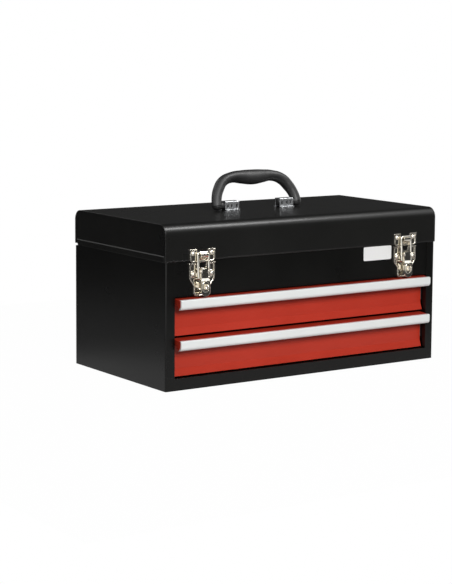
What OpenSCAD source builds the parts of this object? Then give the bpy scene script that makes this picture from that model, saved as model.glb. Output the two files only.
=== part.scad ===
// Portable steel tool box: lift-up lid with a folding handle, two toggle latches, a top
// compartment and two drawers on friction slides.
// Millimetres. X runs left to right, -Y is the front, Z is up.
// The origin is on the floor under the middle of the body.

/* [Box] */
// Depth of the body, front face to back face
box_d = 240; // [200:5:300]
// Width of the lid over its wrap
box_w = 460; // [400:5:560]
// Height to the top of the lid
box_h = 220; // [214:1:260]
// Thickness of the sheet steel
sheet = 0.8; // [0.6:0.1:1.0]
// How far the body's sides stand in from the lid's edge, each side
side_step = 1; // [0.9:0.1:2]
// Bend radius of the body's upright corners
corner_r = 2.4; // [1.6:0.2:4]

/* [Body] */
// Height of the upper front panel, which carries the latches
panel_h = 46.6; // [46:0.1:60]
// Width of the front flange beside the drawers
flange_w = 14; // [12:0.5:20]
// Depth of the flange's inward return
return_d = 20; // [14:1:26]
// Width of the folded hem round the top of the body
hem_w = 10; // [6:0.5:12]
// Height of the bottom rail under the lower drawer
rail_h = 16; // [14:0.5:18]
// Depth of the bottom rail's top fold
rail_fold = 12; // [8:1:16]
// Height of the weld flanges of the pan and the compartment floor
weld_h = 11; // [6:1:14]
// Width of the rear slide posts
post_w = 18; // [12:1:24]
// Distance of the rear posts from the back
post_back = 10; // [4:1:16]

/* [Lid] */
// Height of the lid
lid_h = 49.4; // [42:0.2:60]
// Rounding of the lid's front and rear top edges
lid_r = 14; // [8:1:20]
// Running gap between the lid and the body
split_gap = 0.3; // [0.2:0.1:0.6]
// How far the lid's back stands in from the body's back
lid_back_in = 1.5; // [1:0.1:2.5]
// Height of the pressed band along the lid's ends
band_h = 8.4; // [5:0.2:12]
// How far the pressed band stands proud
band_out = 0.8; // [0.4:0.1:1]
// How far the band ends short of the lid's front and rear
band_short = 4; // [2:0.5:8]
// Width of the fold inside the lid's ends
lid_fold = 8; // [5:0.5:10]

/* [Hinge] */
// How far the piano hinge ends short of the lid, each end
hinge_short = 8; // [6:1:40]
// Outer radius of the hinge knuckles
knuckle_r = 1.8; // [1.6:0.1:2]
// Radius of the hinge pin
hinge_pin_r = 0.9; // [0.7:0.1:1]
// Number of knuckles, an odd number
knuckles = 17; // [7:2:25]
// Gap between neighbouring knuckles
knuckle_gap = 0.4; // [0.3:0.1:1]
// Height of each hinge leaf
leaf_h = 15; // [10:1:20]
// Depth of the clear notch at the rear corners
notch_d = 8; // [6:0.5:12]

/* [Drawers] */
// Gap between the drawer fronts
front_gap = 3; // [2.5:0.1:3.5]
// Gap between the upper front and the upper panel
panel_gap = 1.2; // [1:0.1:2]
// Gap between the bottom rail and the lower front
rail_gap = 1.5; // [1:0.1:2]
// Gap between each end of a drawer front and the body
side_gap = 2; // [1.5:0.1:3]
// How far the drawer fronts are set back from the body's front
front_in = 9.5; // [6:0.5:12]
// Depth of the pull lip over the front face
lip_d = 19.5; // [14:0.5:22]
// Height of the pull lip
lip_h = 13.2; // [10:0.2:16]
// Height of the flared foot of a front
flare_h = 10; // [6:0.5:14]
// How far the flared foot stands forward
flare_d = 3.5; // [2:0.5:5]
// How far the trays' rims stay below the top of their fronts
tray_low = 6; // [3:0.5:12]
// Clear depth behind the trays
tray_back = 16.7; // [8:0.1:40]
// Height of the trays' floor over the foot of the front
tray_up = 3; // [2:0.5:6]
// Width of the safe hem at the top of a tray
tray_hem = 4; // [2:0.5:6]
// Width of the tray's weld flanges behind the front
tray_flange = 12; // [8:1:20]
// How far a trim ends short of its front, each end
trim_short = 0.4; // [0.2:0.1:1]

/* [Slides] */
// Clear width for a slide between the body and a tray
slide_w = 10.5; // [9.5:0.5:12]
// Height of a slide channel
slide_h = 19.8; // [17:0.2:24]
// Thickness of the slide steel
slide_t = 0.9; // [0.8:0.1:1.1]
// Distance of the channels' rear ends from the back
slide_back = 15; // [12:1:24]
// How much shorter than its channel a runner is
runner_short = 20; // [10:1:60]
// Running clearance in a slide
slide_gap = 0.3; // [0.3:0.05:0.5]

/* [Latches] */
// Distance of each latch from the lid's end
latch_in = 57; // [50:1:80]
// Thickness of the latch plates
latch_t = 1; // [0.8:0.1:1.2]
// Height of the pressed rim round the base and keeper plates
rim_h = 0.9; // [0.5:0.1:1.1]
// Width of the pressed rim
rim_w = 1.6; // [0.8:0.1:1.8]
// How far the plates' top corners stand out
tip_out = 1.1; // [0.8:0.1:2]
// Height of the plates' top corners
tip_h = 3.6; // [2.4:0.2:5]
// Top edge of the base plate below the body's top edge
base_drop = 2.9; // [2:0.1:5]
// Width of a base plate
base_w = 39; // [38:0.5:46]
// Length of a base plate
base_l = 44; // [42:0.5:46]
// Height of the base plate's full-width part
base_full = 20; // [18:0.5:22]
// Height of the base plate's taper
base_taper = 12; // [9:0.5:13]
// Width of the base plate's foot
base_foot = 26; // [24:1:32]
// Rounding of the base plate's foot
base_r = 4; // [3:0.5:7]
// Spacing of the rivets on the latch plates
rivet_span = 29; // [28.6:0.1:30]
// Radius of the rivets' heads
rivet_r = 3; // [2:0.1:3.2]
// Height of the rivets' heads
rivet_h = 1.9; // [1:0.1:2.2]
// Depth of the base plate's rivets below its top edge
rivet_low = 14.4; // [12:0.1:15]
// Radius of the pressed bosses under the base plate's rivets
boss_r = 4.6; // [4:0.1:4.7]
// Height of the pressed bosses
boss_h = 0.8; // [0.4:0.1:1]
// Height of the lever pivot below the body's top edge
pivot_drop = 14.3; // [13:0.1:16]
// Distance of the lever pivot from the body's front
pivot_out = 5.4; // [5.2:0.1:6.5]
// Radius of the lever pivot pin
pivot_r = 1.25; // [1:0.05:1.4]
// Clearance round the latch pins
pin_gap = 0.06; // [0.03:0.01:0.1]
// Side clearance between the lever and its ears
ear_gap = 0.2; // [0.1:0.05:0.25]
// Distance between the lever pivot and the loop pivot
crank = 8; // [7.5:0.1:9]
// Over-centre angle of the closed lever
over_deg = 4; // [2:0.5:6]
// Width of the lever
lever_w = 10.8; // [10.5:0.1:11]
// Height of the lever's top edge over its pivot
lever_top = 4; // [3.4:0.1:4.2]
// Length of the lever below its pivot
lever_l = 32.2; // [30:0.1:32.4]
// Distance of the lever's face from its pivot
lever_off = 1.5; // [1.45:0.05:1.8]
// How far the lower half of the lever steps forward
lever_step = 2; // [1:0.1:2.4]
// Depth of that step below the pivot
step_low = 8.6; // [8:0.1:9]
// Height of that step
step_h = 3.4; // [3:0.1:3.6]
// Width of the lever's round tab
tab_w = 13.4; // [12:0.1:13.6]
// Depth of the padlock staple below the lever pivot
staple_low = 19.6; // [19.2:0.1:20]
// Thickness of the staple
staple_t = 1.6; // [1:0.1:2.4]
// Radius of the hole in the staple
eye_r = 1.8; // [1.4:0.1:2]
// Width of the staple round its hole
eye_rim = 1.8; // [1.4:0.1:2]
// Half width of the lever's slot for the staple
slot_r = 3.9; // [3.6:0.1:4.2]
// Length of the slot's straight part
slot_l = 4.6; // [4.2:0.1:5]
// Width and height of the raised rim round the slot
slot_rim = [1.3, 0.9];
// Radius of the loop wire
wire_r = 1.4; // [1.2:0.05:1.5]
// Distance between the loop arms
arm_span = 16.7; // [16.6:0.1:17.6]
// Rounding of the loop's corners
loop_r = 3; // [2.4:0.1:4]
// Height of the loop's crossbar over the body's top edge
bar_up = 10.9; // [9:0.1:12]
// Distance of the crossbar from the lid's front
bar_out = 3; // [2.6:0.1:3.4]
// Width of a keeper plate
keeper_w = 38.6; // [37.6:0.2:44]
// Height of a keeper plate
keeper_h = 17.1; // [15:0.1:19]
// Overhang of the keeper plate below the lid
keeper_low = 2; // [1:0.1:2.2]
// Rounding of the keeper plate's lower corners
keeper_r = 4; // [2:0.2:5]
// Depth of the keeper's rivets below its top edge
keeper_rivet = 5.4; // [5:0.1:7]
// Width of the keeper's hook
hook_w = 12; // [10:0.2:12.8]

/* [Handle] */
// Radius of the handle's pivot pins
handle_pin_r = 4.6; // [4:0.1:5]
// Height of the handle's pivot over the lid
handle_up = 7; // [7:0.1:9]
// Half span of the handle's legs at the pivot
leg_x = 69.2; // [66:0.2:80]
// Backward lean of the standing handle
handle_lean = 22; // [0:1:40]
// Height of the grip's middle over the pivot
grip_up = 41; // [36:0.5:46]
// Inner end of each bracket from the middle
bracket_in = 35.5; // [30:0.5:40]
// Length of each bracket
bracket_l = 23.3; // [18:0.1:23.6]
// Thickness of the bracket steel
bracket_t = 1.5; // [1:0.1:1.6]
// Width of the brackets' rolled ends
bracket_roll = 1.8; // [1:0.1:2.4]
// Half depth of the brackets' feet
foot_y = 10.5; // [10:0.1:11]
// Running clearance of the handle's pins
handle_gap = 0.1; // [0.05:0.05:0.2]
// Radius of the bracket rivets' heads
stud_r = 1.8; // [1.4:0.1:1.9]
// Height of the bracket rivets' heads
stud_h = 1.1; // [0.6:0.1:1.4]
// Spacing of the bracket rivets
stud_span = 13; // [10:0.5:16]

/* [Hidden] */
$fn = 48;

// heights
body_h = box_h - lid_h - split_gap;
panel_z = body_h - panel_h;
deck_z = panel_z + sheet;
low_z = rail_h + rail_gap;
front_h = (panel_z - panel_gap - low_z - front_gap) / 2;
up_z = low_z + front_h + front_gap;
lid_z = body_h + split_gap;
// body
half_w = box_w / 2 - side_step;
half_in = half_w - sheet;
front_y = -box_d / 2;
back_y = box_d / 2;
open_x = half_w - flange_w;
face_y = front_y + sheet;
lid_back_y = back_y - lid_back_in;
// hinge
hinge_l = box_w - 2 * hinge_short;
leaf_y = back_y - 2 * sheet;
hinge_y = leaf_y + knuckle_r;
hinge_z = body_h + 0.7;
notch_y = back_y - notch_d;
notch_low = hinge_z - knuckle_r - 0.2;
notch_high = hinge_z + knuckle_r - 0.1;
pitch = hinge_l / knuckles;
// trays and slides
tray_x = open_x - slide_w;
tray_y = front_y + front_in + sheet;
tray_l = back_y - tray_back - tray_y;
tray_h = front_h - tray_up - tray_low;
chan_y = tray_y + 0.7;
slide_l = back_y - slide_back - chan_y;
runner_l = slide_l - runner_short;
slide_up = tray_up + tray_h / 2;
runner_z = slide_h / 2 - slide_t - slide_gap;
slot_z = runner_z - 2.1;
// latches
latch_x = box_w / 2 - latch_in;
pivot_z = body_h - pivot_drop;
pivot_y = front_y - pivot_out;
crank_y = pivot_y + crank * sin(over_deg);
crank_z = pivot_z - crank * cos(over_deg);
bar_y = front_y - bar_out;
bar_z = body_h + bar_up;
loop_l = norm([bar_y - crank_y, bar_z - crank_z]);
loop_tilt = atan2(bar_y - crank_y, bar_z - crank_z);
lever_in = lever_w / 2 - latch_t;
lever_y = pivot_y - lever_off;
ear_in = lever_w / 2 + ear_gap;
rim_y = lever_y - latch_t - lever_step - slot_rim[1];
eye_y = rim_y - eye_r - 0.1;
eye_z = pivot_z - staple_low;
slot_top = eye_z + slot_l / 2 + 0.1;
slot_foot = slot_top - slot_l;
plate_y = face_y - latch_t;
keep_y = front_y - latch_t;
seat_z = bar_z - wire_r - 0.1;
hook_y = bar_y - 3.35;
// handle
pivot_up = box_h + handle_up;

// places 2-D children drawn in Y and Z as a bar running along X
module along_x(x0, x1) {
    translate([x0, 0, 0])
        rotate([90, 0, 90])
            linear_extrude(x1 - x0)
                children();
}

// mirrors children to the left when side is -1
module on_side(side) {
    if (side < 0)
        mirror([1, 0, 0])
            children();
    else
        children();
}

function unit(v) = v / norm(v);
function left_of(v) = [-v[1], v[0]];

// the point beside point i of a line, at distance d to its left
function beside(pts, i, d) =
    let (last = len(pts) - 1,
         a = unit(pts[max(i, 1)] - pts[max(i, 1) - 1]),
         b = unit(pts[min(i, last - 1) + 1] - pts[min(i, last - 1)]),
         n = unit(left_of(a) + left_of(b)))
    pts[i] + n * d / (n * left_of(a));

// a bent sheet of thickness t along a line of points
module bent(pts, t) {
    last = len(pts) - 1;
    polygon(concat(
        [for (i = [0 : last]) beside(pts, i, t / 2)],
        [for (i = [last : -1 : 0]) beside(pts, i, -t / 2)]
    ));
}

// rounded rectangle between two corners
module rounded(x0, y0, x1, y1, r) {
    translate([x0 + r, y0])
        square([x1 - x0 - 2 * r, y1 - y0]);
    translate([x0, y0 + r])
        square([x1 - x0, y1 - y0 - 2 * r]);
    for (x = [x0 + r, x1 - r], y = [y0 + r, y1 - r])
        translate([x, y])
            circle(r);
}

// domed rivet head, seated on Z = 0
module rivet(r, h) {
    big = (r * r + h * h) / (2 * h);
    intersection() {
        translate([0, 0, h - big])
            sphere(big);
        cylinder(r = r, h = h);
    }
}

// ---- body ----

// outline of the body seen from above, inset by e
module body_plan(e) {
    rounded(e - half_w, front_y + e, half_w - e, back_y - e, corner_r - e);
}

module body_wrap() {
    color([0.10, 0.10, 0.095]) {
        difference() {
            linear_extrude(body_h)
                difference() {
                    body_plan(0);
                    body_plan(sheet);
                    translate([-open_x, front_y - 1])
                        square([2 * open_x, corner_r + 1]);
                }
            // clear notch for the hinge along the back
            translate([-half_w - 1, notch_y, notch_low])
                cube([2 * half_w + 2, notch_d + 1, body_h]);
        }
        for (side = [-1, 1])
            on_side(side) {
                // inward return of the front flange
                translate([open_x, front_y, sheet])
                    cube([sheet, return_d, deck_z - sheet]);
                // hem along the top of the side
                translate([half_in - hem_w, front_y + 2 * sheet, body_h - sheet])
                    cube([hem_w, notch_y - front_y - 2 * sheet, sheet]);
            }
    }
}

module bottom_pan() {
    color([0.10, 0.10, 0.095]) {
        // floor
        linear_extrude(sheet)
            body_plan(sheet);
        // front rail, folded up and back
        along_x(-open_x, open_x)
            bent([
                [face_y + sheet, sheet / 2],
                [front_y + sheet / 2, sheet / 2],
                [front_y + sheet / 2, rail_h - sheet / 2],
                [front_y + rail_fold, rail_h - sheet / 2],
                [front_y + rail_fold, rail_h - sheet - 5]
            ], sheet);
        // weld flanges against the sides and the back
        for (side = [-1, 1])
            on_side(side)
                translate([half_in - sheet, face_y + return_d, sheet])
                    cube([sheet, box_d - return_d - 4 * sheet - corner_r, weld_h]);
        translate([-half_in + corner_r, back_y - 2 * sheet, 0])
            cube([2 * half_in - 2 * corner_r, sheet, weld_h + sheet]);
    }
}

module upper_front_panel() {
    color([0.10, 0.10, 0.095]) {
        // face behind the flanges
        translate([-half_in + corner_r, face_y, deck_z])
            cube([2 * (half_in - corner_r), sheet, body_h - deck_z]);
        // foot folded back under the compartment floor
        translate([-open_x, face_y, panel_z])
            cube([2 * open_x, return_d - 4, sheet]);
        // hem along the top
        translate([-half_in + hem_w, face_y, body_h - sheet])
            cube([2 * (half_in - hem_w), hem_w + sheet, sheet]);
    }
}

module compartment_floor() {
    color([0.12, 0.12, 0.115]) {
        translate([0, 0, deck_z])
            linear_extrude(sheet)
                difference() {
                    body_plan(sheet);
                    translate([-box_w, face_y - 1])
                        square([2 * box_w, sheet + 1]);
                }
        for (side = [-1, 1])
            on_side(side)
                translate([half_in - sheet, face_y + 2 * sheet, deck_z + sheet])
                    cube([sheet, box_d - 6 * sheet - corner_r, weld_h]);
    }
}

// hat-section post that carries the rear ends of the slides
module rear_post(side) {
    y1 = back_y - post_back;
    y0 = y1 - post_w;
    z0 = sheet + weld_h + 0.4;
    color([0.12, 0.12, 0.115])
        on_side(side)
            translate([0, 0, z0])
                linear_extrude(deck_z - z0) {
                    translate([open_x, y0])
                        square([sheet, post_w]);
                    for (y = [y0, y1 - sheet])
                        translate([open_x, y])
                            square([half_in - open_x, sheet]);
                }
}

// C channel of a friction slide, open towards the drawer
module slide_channel(side, z) {
    color([0.62, 0.63, 0.64])
        on_side(side)
            translate([open_x, chan_y, z + slide_up])
                rotate([-90, 0, 0])
                    linear_extrude(slide_l) {
                        translate([-slide_t, -slide_h / 2])
                            square([slide_t, slide_h]);
                        for (k = [-1, 1]) {
                            translate([-slide_w + 2, k * (slide_h - slide_t) / 2 - slide_t / 2])
                                square([slide_w - 2, slide_t]);
                            translate([-slide_w + 2, k > 0 ? slot_z + slide_gap : -slide_h / 2])
                                square([slide_t, slide_h / 2 - slot_z - slide_gap]);
                        }
                    }
}

// ---- piano hinge ----

// true for the knuckles that belong to the body's leaf
function of_body(i) = i % 2 == 0;

module knuckle_row(body) {
    for (i = [0 : knuckles - 1])
        if (of_body(i) == body)
            along_x(-hinge_l / 2 + i * pitch + knuckle_gap / 2,
                    -hinge_l / 2 + (i + 1) * pitch - knuckle_gap / 2)
                difference() {
                    union() {
                        translate([hinge_y, hinge_z])
                            circle(knuckle_r);
                        children();
                    }
                    translate([hinge_y, hinge_z])
                        circle(hinge_pin_r);
                }
}

module hinge_leaf_lower() {
    root = notch_low - 0.5;
    color([0.42, 0.42, 0.42]) {
        along_x(-hinge_l / 2, hinge_l / 2)
            translate([leaf_y, root - leaf_h])
                square([sheet, leaf_h]);
        knuckle_row(true)
            translate([leaf_y, root])
                square([sheet, hinge_z - root]);
    }
}

module hinge_leaf_upper() {
    skirt = lid_back_y - sheet;
    root = hinge_z + knuckle_r + 0.5;
    color([0.42, 0.42, 0.42]) {
        along_x(-hinge_l / 2, hinge_l / 2)
            translate([skirt - sheet, root])
                square([sheet, leaf_h]);
        // the joggle brings the leaf back under the lid's edge to the knuckle
        knuckle_row(false)
            polygon([
                [skirt - sheet, root], [skirt, root],
                [skirt, notch_high - 0.1], [leaf_y + sheet, hinge_z + 0.9],
                [leaf_y + sheet, hinge_z], [leaf_y, hinge_z],
                [leaf_y, hinge_z + 0.5], [skirt - sheet, notch_high - 0.5]
            ]);
    }
}

module hinge_pin() {
    color([0.55, 0.55, 0.55])
        along_x(-hinge_l / 2, hinge_l / 2)
            translate([hinge_y, hinge_z])
                circle(hinge_pin_r);
}

// ---- lid ----

// end outline of the lid in Y and Z, inset by e, running down to z0
module lid_outline(e, z0) {
    r = lid_r - e;
    y0 = front_y + e;
    y1 = lid_back_y - e;
    z1 = box_h - e;
    translate([y0, z0])
        square([y1 - y0, z1 - r - z0]);
    translate([y0 + r, z0])
        square([y1 - y0 - 2 * r, z1 - z0]);
    for (y = [y0 + r, y1 - r])
        translate([y, z1 - r])
            circle(r, $fn = 64);
}

// what the hinge notch takes from the lid
module lid_notch() {
    translate([notch_y, lid_z - 10])
        square([notch_d + 10, notch_high - lid_z + 10]);
}

module lid_wrap() {
    color([0.10, 0.10, 0.095]) {
        along_x(-box_w / 2, box_w / 2)
            difference() {
                lid_outline(0, lid_z);
                lid_outline(sheet, lid_z - 1);
                lid_notch();
            }
        // fold along the foot of the front, between the ends
        along_x(-half_in, half_in)
            translate([front_y + sheet, lid_z])
                square([lid_fold, sheet]);
    }
}

module lid_end(side) {
    x1 = half_w;
    color([0.10, 0.10, 0.095])
        on_side(side) {
            // end panel inside the wrap
            along_x(x1 - sheet, x1)
                difference() {
                    lid_outline(sheet, lid_z);
                    lid_notch();
                }
            // weld fold that follows the inside of the wrap
            along_x(x1 - sheet - lid_fold, x1 - sheet)
                difference() {
                    lid_outline(sheet, lid_z + 2 * sheet);
                    lid_outline(2 * sheet, lid_z);
                    translate([lid_back_y - 3 * sheet, lid_z])
                        square([4 * sheet, leaf_h + 8]);
                }
            // bottom hem
            translate([x1 - sheet - lid_fold, front_y + lid_fold + 2 * sheet, lid_z])
                cube([lid_fold, notch_y - front_y - lid_fold - 2 * sheet, sheet]);
            // pressed band with a sloped top edge
            difference() {
                translate([x1, lid_back_y - band_short, lid_z])
                    rotate([90, 0, 0])
                        linear_extrude(lid_back_y - front_y - 2 * band_short)
                            polygon([[0, 0], [band_out, 0], [band_out, band_h - 1.4], [0, band_h]]);
                along_x(x1 - 1, x1 + band_out + 1)
                    lid_notch();
            }
        }
}

// ---- latches ----

// top edge of a latch plate in X and Z, from its right side to its left
function plate_top(x, z, out) =
    [
        [x, z - tip_h], [x + 0.35 * out, z - tip_h / 2], [x + out, z - 0.5], [x + out - 0.5, z],
        [0.5 - x - out, z], [-x - out, z - 0.5], [-x - 0.35 * out, z - tip_h / 2], [-x, z - tip_h]
    ];

// rounded lower corners of a latch plate, from its left side to its right
function plate_foot(x, z, r) =
    concat(
        [for (a = [180 : 15 : 270]) [-x + r + r * cos(a), z + r + r * sin(a)]],
        [for (a = [270 : 15 : 360]) [x - r + r * cos(a), z + r + r * sin(a)]]
    );

// half width of the base plate along its taper
function base_half(t) = base_foot / 2 + (base_w - base_foot) / 2 * (1 + cos(180 * t)) / 2;

// outline of the base plate, inset by e
function base_points(e) =
    let (top = body_h - base_drop, full = top - base_full, s = 12)
    concat(
        plate_top(base_w / 2 - e, top - e, tip_out - e / 2),
        [for (i = [0 : s]) [-base_half(i / s) + e, full - base_taper * i / s]],
        plate_foot(base_foot / 2 - e, top - base_l + e, base_r - e),
        [for (i = [s : -1 : 0]) [base_half(i / s) - e, full - base_taper * i / s]]
    );

// outline of the keeper plate, inset by e
function keeper_points(e) =
    let (low = lid_z - keeper_low)
    concat(
        plate_top(keeper_w / 2 - e, low + keeper_h - e, tip_out - e / 2),
        plate_foot(keeper_w / 2 - e, low + e, keeper_r - e)
    );

// pressed plate seated at y, with its outline and the inside of its rim
module latch_plate(y, outside, inside) {
    translate([0, y, 0])
        rotate([90, 0, 0])
            linear_extrude(latch_t)
                polygon(outside);
    translate([0, y - latch_t, 0])
        rotate([90, 0, 0])
            linear_extrude(rim_h)
                difference() {
                    polygon(outside);
                    polygon(inside);
                }
}

// ear of the base plate in Y and Z
module ear_outline() {
    r = pivot_r + 1.35;
    difference() {
        union() {
            translate([pivot_y, pivot_z])
                circle(r);
            translate([pivot_y, pivot_z - r])
                square([plate_y - pivot_y + 0.2, 2 * r]);
        }
        translate([pivot_y, pivot_z])
            circle(pivot_r);
    }
}

module latch_base(side) {
    r = eye_r + eye_rim;
    color([0.72, 0.70, 0.66])
        on_side(side)
            translate([latch_x, 0, 0]) {
                latch_plate(face_y, base_points(0), base_points(rim_w));
                // ears that carry the lever's pin
                for (k = [-1, 1])
                    along_x(k > 0 ? ear_in : -ear_in - latch_t, k > 0 ? ear_in + latch_t : -ear_in)
                        ear_outline();
                // bosses under the rivets
                for (k = [-1, 1])
                    translate([k * rivet_span / 2, plate_y, body_h - base_drop - rivet_low])
                        rotate([90, 0, 0])
                            cylinder(r1 = boss_r, r2 = boss_r - 0.8, h = boss_h);
                // padlock staple that comes through the lever
                along_x(-staple_t / 2, staple_t / 2)
                    difference() {
                        union() {
                            translate([eye_y, eye_z])
                                circle(r);
                            translate([eye_y, eye_z - r])
                                square([plate_y - eye_y + 0.2, 2 * r]);
                        }
                        translate([eye_y, eye_z])
                            circle(eye_r);
                    }
            }
}

module latch_pin(side) {
    end = ear_in + latch_t + 0.05;
    color([0.75, 0.74, 0.70])
        on_side(side)
            translate([latch_x, 0, 0])
                along_x(-end, end)
                    translate([pivot_y, pivot_z])
                        circle(pivot_r);
}

module latch_base_rivets() {
    color([0.80, 0.79, 0.76])
        for (side = [-1, 1], k = [-1, 1])
            translate([side * latch_x + k * rivet_span / 2, plate_y - boss_h,
                       body_h - base_drop - rivet_low])
                rotate([90, 0, 0])
                    rivet(rivet_r, rivet_h);
}

// side flange of the lever in Y and Z
module lever_flange() {
    foot = crank_z - 2.6;
    edge = lever_y - 0.2;
    lean = lever_step * (pivot_z - step_low - foot) / step_h;
    difference() {
        union() {
            translate([pivot_y, pivot_z])
                circle(pivot_r + 1.65);
            translate([crank_y, crank_z])
                circle(2.6);
            polygon([
                [edge, pivot_z + lever_top - 0.4], [edge, pivot_z - step_low], [edge - lean, foot],
                [crank_y, foot], [pivot_y + 2.2, crank_z], [pivot_y + 2.2, pivot_z],
                [pivot_y, pivot_z + lever_top - 0.4]
            ]);
        }
        translate([pivot_y, pivot_z])
            circle(pivot_r + pin_gap);
        translate([crank_y, crank_z])
            circle(wire_r + pin_gap);
    }
}

// slot of the lever in X and Z, widened by e
module slot_outline(e) {
    for (z = [slot_foot, slot_top])
        translate([0, z])
            circle(slot_r + e);
    translate([-slot_r - e, slot_foot])
        square([2 * (slot_r + e), slot_l]);
}

module latch_lever(side) {
    y = lever_y - latch_t / 2;
    low = pivot_z - lever_l;
    r = tab_w / 2;
    color([0.74, 0.72, 0.68])
        on_side(side)
            translate([latch_x, 0, 0]) {
                // face, stepped forward over its lower half
                intersection() {
                    along_x(-tab_w, tab_w)
                        bent([
                            [y, pivot_z + lever_top + 1], [y, pivot_z - step_low],
                            [y - lever_step, pivot_z - step_low - step_h],
                            [y - lever_step, low - 1]
                        ], latch_t);
                    translate([0, pivot_y, 0])
                        rotate([90, 0, 0])
                            linear_extrude(12)
                                difference() {
                                    union() {
                                        rounded(-lever_w / 2, pivot_z - step_low - step_h,
                                                lever_w / 2, pivot_z + lever_top, 2);
                                        translate([0, low + r])
                                            circle(r);
                                        translate([-r, low + r])
                                            square([2 * r, pivot_z - step_low - 2 - low - r]);
                                    }
                                    slot_outline(0);
                                }
                }
                // raised rim round the slot
                translate([0, rim_y + slot_rim[1], 0])
                    rotate([90, 0, 0])
                        linear_extrude(slot_rim[1])
                            difference() {
                                slot_outline(slot_rim[0]);
                                slot_outline(0);
                            }
                // side flanges
                for (k = [-1, 1])
                    along_x(k > 0 ? lever_in : -lever_w / 2, k > 0 ? lever_w / 2 : -lever_in)
                        lever_flange();
            }
}

// wire loop, drawn from its pivot upwards and then tilted into place
module latch_loop(side) {
    a = arm_span / 2;
    r = loop_r;
    color([0.76, 0.74, 0.70])
        on_side(side)
            translate([latch_x, crank_y, crank_z])
                rotate([-loop_tilt, 0, 0]) {
                    for (k = [-1, 1]) {
                        // stub in the lever's flange
                        translate([k > 0 ? lever_in : -a, 0, 0])
                            rotate([0, 90, 0])
                                cylinder(r = wire_r, h = a - lever_in);
                        translate([k * a, 0, 0])
                            sphere(wire_r);
                        translate([k * a, 0, 0])
                            cylinder(r = wire_r, h = loop_l - r);
                        // bend into the crossbar
                        translate([k * (a - r), 0, loop_l - r])
                            rotate([90, 0, 0])
                                rotate([0, 0, k > 0 ? 0 : 90])
                                    rotate_extrude(angle = 90)
                                        translate([r, 0])
                                            circle(wire_r);
                    }
                    translate([-(a - r), 0, loop_l])
                        rotate([0, 90, 0])
                            cylinder(r = wire_r, h = 2 * (a - r));
                }
}

module keeper(side) {
    z0 = lid_z - keeper_low;
    slant = 1.0;
    color([0.72, 0.70, 0.66])
        on_side(side)
            translate([latch_x, 0, 0]) {
                latch_plate(front_y, keeper_points(0), keeper_points(rim_w));
                // pressed hook with its shelf and lip
                along_x(-hook_w / 2, hook_w / 2)
                    difference() {
                        polygon([
                            [keep_y, z0 + 1.8], [hook_y - 0.95, seat_z - 2.4],
                            [hook_y - 0.95, seat_z + 0.3], [hook_y - 0.65, seat_z + 0.6],
                            [hook_y - 0.3, seat_z + 0.6], [hook_y, seat_z + 0.3],
                            [hook_y, seat_z], [keep_y, seat_z]
                        ]);
                        polygon([
                            [keep_y + 0.01, z0 + 1.8 + 1.5 * slant], [hook_y, seat_z - 2.1],
                            [hook_y, seat_z - slant], [keep_y + 0.01, seat_z - slant]
                        ]);
                    }
            }
}

module keeper_rivets() {
    z = lid_z - keeper_low + keeper_h - keeper_rivet;
    color([0.80, 0.79, 0.76])
        for (side = [-1, 1], k = [-1, 1])
            translate([side * latch_x + k * rivet_span / 2, keep_y, z])
                rotate([90, 0, 0])
                    rivet(rivet_r, rivet_h);
}

// ---- handle ----

// section of a bracket in Y and Z, its barrel thickened by e
module bracket_outline(e) {
    ri = handle_pin_r + handle_gap;
    ro = ri + bracket_t + e;
    difference() {
        union() {
            translate([0, pivot_up])
                circle(ro);
            translate([-ro, box_h])
                square([2 * ro, handle_up]);
            translate([-foot_y, box_h])
                square([2 * foot_y, bracket_t]);
        }
        translate([0, pivot_up])
            circle(ri);
        translate([-ri, box_h - 1])
            square([2 * ri, handle_up + 1]);
    }
}

module handle_bracket(side) {
    x1 = bracket_in + bracket_l;
    color([0.82, 0.83, 0.84])
        on_side(side) {
            along_x(bracket_in + bracket_roll, x1 - bracket_roll)
                bracket_outline(0);
            // rolled ends
            for (x = [bracket_in, x1 - bracket_roll])
                along_x(x, x + bracket_roll)
                    bracket_outline(0.6);
        }
}

module bracket_rivets() {
    mid = bracket_in + bracket_l / 2;
    y = (foot_y + handle_pin_r + handle_gap + bracket_t) / 2;
    color([0.80, 0.80, 0.80])
        for (side = [-1, 1], k = [-1, 1], f = [-1, 1])
            translate([side * mid + k * stud_span / 2, f * y, box_h + bracket_t])
                rivet(stud_r, stud_h);
}

// stations of the right half: [x, height, half width, half depth] from the pivot
grip_half = [
    [leg_x, -6.3, 5.4, 1.3],
    [leg_x, -5.0, 7.2, 4.0],
    [leg_x, -2.6, 8.2, 5.8],
    [leg_x, 0, 8.5, 6.4],
    [leg_x - 0.4, 0.125 * grip_up, 8.6, 6.5],
    [leg_x - 2.6, 0.325 * grip_up, 8.8, 6.9],
    [leg_x - 7.6, 0.5625 * grip_up, 9.0, 7.6],
    [leg_x - 18.2, 0.85 * grip_up, 9.2, 8.6],
    [0.49 * leg_x, 0.99 * grip_up, 9.5, 9.3],
    [0.249 * leg_x, 0.985 * grip_up, 12.0, 9.8],
    [0, 0.965 * grip_up, 13.6, 10]
];
grip_n = len(grip_half);
grip_stations = concat(
    grip_half,
    [for (i = [grip_n - 2 : -1 : 0])
        [-grip_half[i][0], grip_half[i][1], grip_half[i][2], grip_half[i][3]]]
);
grip_last = len(grip_stations) - 1;
grip_steps = 3;
grip_sides = 24;

function clip(i) = max(0, min(grip_last, i));

// Catmull-Rom blend between stations i and i + 1
function blend(i, t) =
    let (a = grip_stations[clip(i - 1)], b = grip_stations[i],
         c = grip_stations[clip(i + 1)], d = grip_stations[clip(i + 2)])
    0.5 * (2 * b + (c - a) * t + (2 * a - 5 * b + 4 * c - d) * t * t
           + (3 * b - a - 3 * c + d) * t * t * t);

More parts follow.
